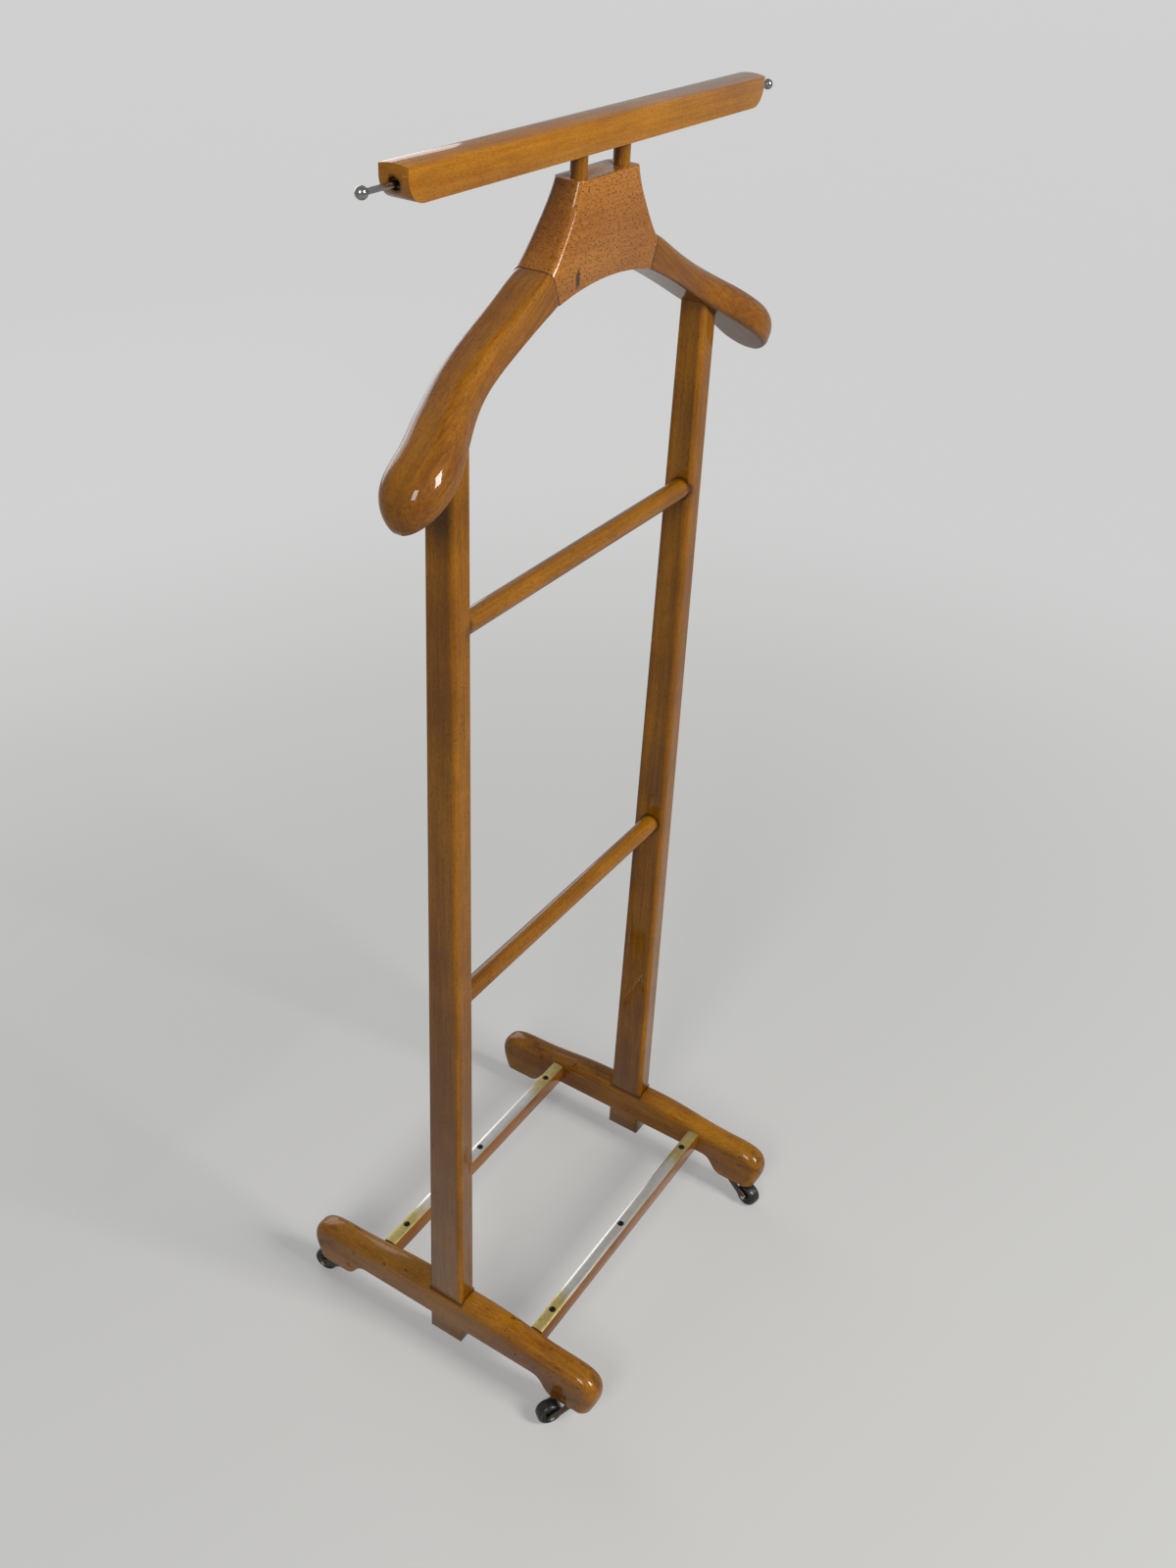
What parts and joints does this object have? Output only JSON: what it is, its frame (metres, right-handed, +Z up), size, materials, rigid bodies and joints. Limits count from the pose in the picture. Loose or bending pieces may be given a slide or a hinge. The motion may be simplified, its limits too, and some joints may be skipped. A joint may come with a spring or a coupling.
{
  "type": "valet stand",
  "caption": "Lacquered wooden valet stand on castors: coat-hanger head, flat trouser bar with pull-out steel rods, cross rungs between tapered stiles, and metal-capped foot rails.",
  "frame": {"origin": "on the floor, under the middle of the base", "axes": "+X to the right as seen from the front, front towards -Y, +Z up"},
  "size_m": [0.4796, 0.3336, 1.0802],
  "materials": {
    "hanger_wood": "gloss lacquer",
    "bar_wood": "gloss lacquer",
    "stile_wood": "gloss lacquer",
    "foot_wood": "worn gloss lacquer",
    "dowel_wood": "bare",
    "cover_steel": "worn brass-coloured coating",
    "screw_black": "blackened",
    "rod_steel": "bright",
    "bush_brass": "turned",
    "socket_steel": "dull zinc",
    "fork_steel": "dark bronzed",
    "wheel_plastic": "moulded gloss black"
  },
  "bodies": {
    "frame": {"hanger_block": "hanger_wood", "hanger_arm_left": "hanger_wood", "hanger_arm_right": "hanger_wood", "top_bar": "bar_wood", "peg_left": "bar_wood", "peg_right": "bar_wood", "stile_left": "stile_wood", "stile_right": "stile_wood", "rung_lower": "stile_wood", "rung_upper": "stile_wood", "foot_left": "foot_wood", "foot_right": "foot_wood", "rail_front": "foot_wood", "rail_rear": "foot_wood", "hanger_dowels": "dowel_wood", "stile_dowels": "dowel_wood", "rail_cover_front": "cover_steel", "rail_cover_rear": "cover_steel", "rail_screws_front": "screw_black", "rail_screws_rear": "screw_black", "rod_bush_left": "bush_brass", "rod_bush_right": "bush_brass", "castor_socket_left_front": "socket_steel", "castor_socket_left_rear": "socket_steel", "castor_socket_right_front": "socket_steel", "castor_socket_right_rear": "socket_steel"},
    "rod_left": {"rod_left": "rod_steel", "rod_ball_left": "rod_steel"},
    "rod_right": {"rod_right": "rod_steel", "rod_ball_right": "rod_steel"},
    "fork_left_front": {"castor_fork_left_front": "fork_steel", "castor_stem_left_front": "fork_steel", "castor_axle_left_front": "fork_steel"},
    "wheel_left_front": {"castor_wheel_left_front": "wheel_plastic"},
    "fork_left_rear": {"castor_fork_left_rear": "fork_steel", "castor_stem_left_rear": "fork_steel", "castor_axle_left_rear": "fork_steel"},
    "wheel_left_rear": {"castor_wheel_left_rear": "wheel_plastic"},
    "fork_right_front": {"castor_fork_right_front": "fork_steel", "castor_stem_right_front": "fork_steel", "castor_axle_right_front": "fork_steel"},
    "wheel_right_front": {"castor_wheel_right_front": "wheel_plastic"},
    "fork_right_rear": {"castor_fork_right_rear": "fork_steel", "castor_stem_right_rear": "fork_steel", "castor_axle_right_rear": "fork_steel"},
    "wheel_right_rear": {"castor_wheel_right_rear": "wheel_plastic"}
  },
  "joints": [
    {"name": "rod_left_slide", "type": "slide", "parent": "frame", "child": "rod_left", "axis": [-1, 0, 0], "range_m": [-0.0225, 0.06]},
    {"name": "rod_right_slide", "type": "slide", "parent": "frame", "child": "rod_right", "axis": [1, 0, 0], "range_m": [-0.0225, 0.06]},
    {"name": "swivel_left_front", "type": "hinge", "parent": "frame", "child": "fork_left_front", "pos_m": [-0.16, -0.134, 0.026], "axis": [0, 0, 1], "continuous": true},
    {"name": "swivel_right_front", "type": "hinge", "parent": "frame", "child": "fork_right_front", "pos_m": [0.16, -0.134, 0.026], "axis": [0, 0, 1], "continuous": true},
    {"name": "swivel_left_rear", "type": "hinge", "parent": "frame", "child": "fork_left_rear", "pos_m": [-0.16, 0.134, 0.026], "axis": [0, 0, 1], "continuous": true},
    {"name": "swivel_right_rear", "type": "hinge", "parent": "frame", "child": "fork_right_rear", "pos_m": [0.16, 0.134, 0.026], "axis": [0, 0, 1], "continuous": true},
    {"name": "spin_left_front", "type": "hinge", "parent": "fork_left_front", "child": "wheel_left_front", "pos_m": [-0.1772, -0.12195, 0.012], "axis": [-0.5736, -0.8192, 0], "continuous": true},
    {"name": "spin_right_front", "type": "hinge", "parent": "fork_right_front", "child": "wheel_right_front", "pos_m": [0.15457, -0.15428, 0.012], "axis": [0.9659, -0.2588, 0], "continuous": true},
    {"name": "spin_left_rear", "type": "hinge", "parent": "fork_left_rear", "child": "wheel_left_rear", "pos_m": [-0.16183, 0.15492, 0.012], "axis": [-0.9962, -0.0872, 0], "continuous": true},
    {"name": "spin_right_rear", "type": "hinge", "parent": "fork_right_rear", "child": "wheel_right_rear", "pos_m": [0.17973, 0.14118, 0.012], "axis": [-0.342, 0.9397, 0], "continuous": true}
  ]
}
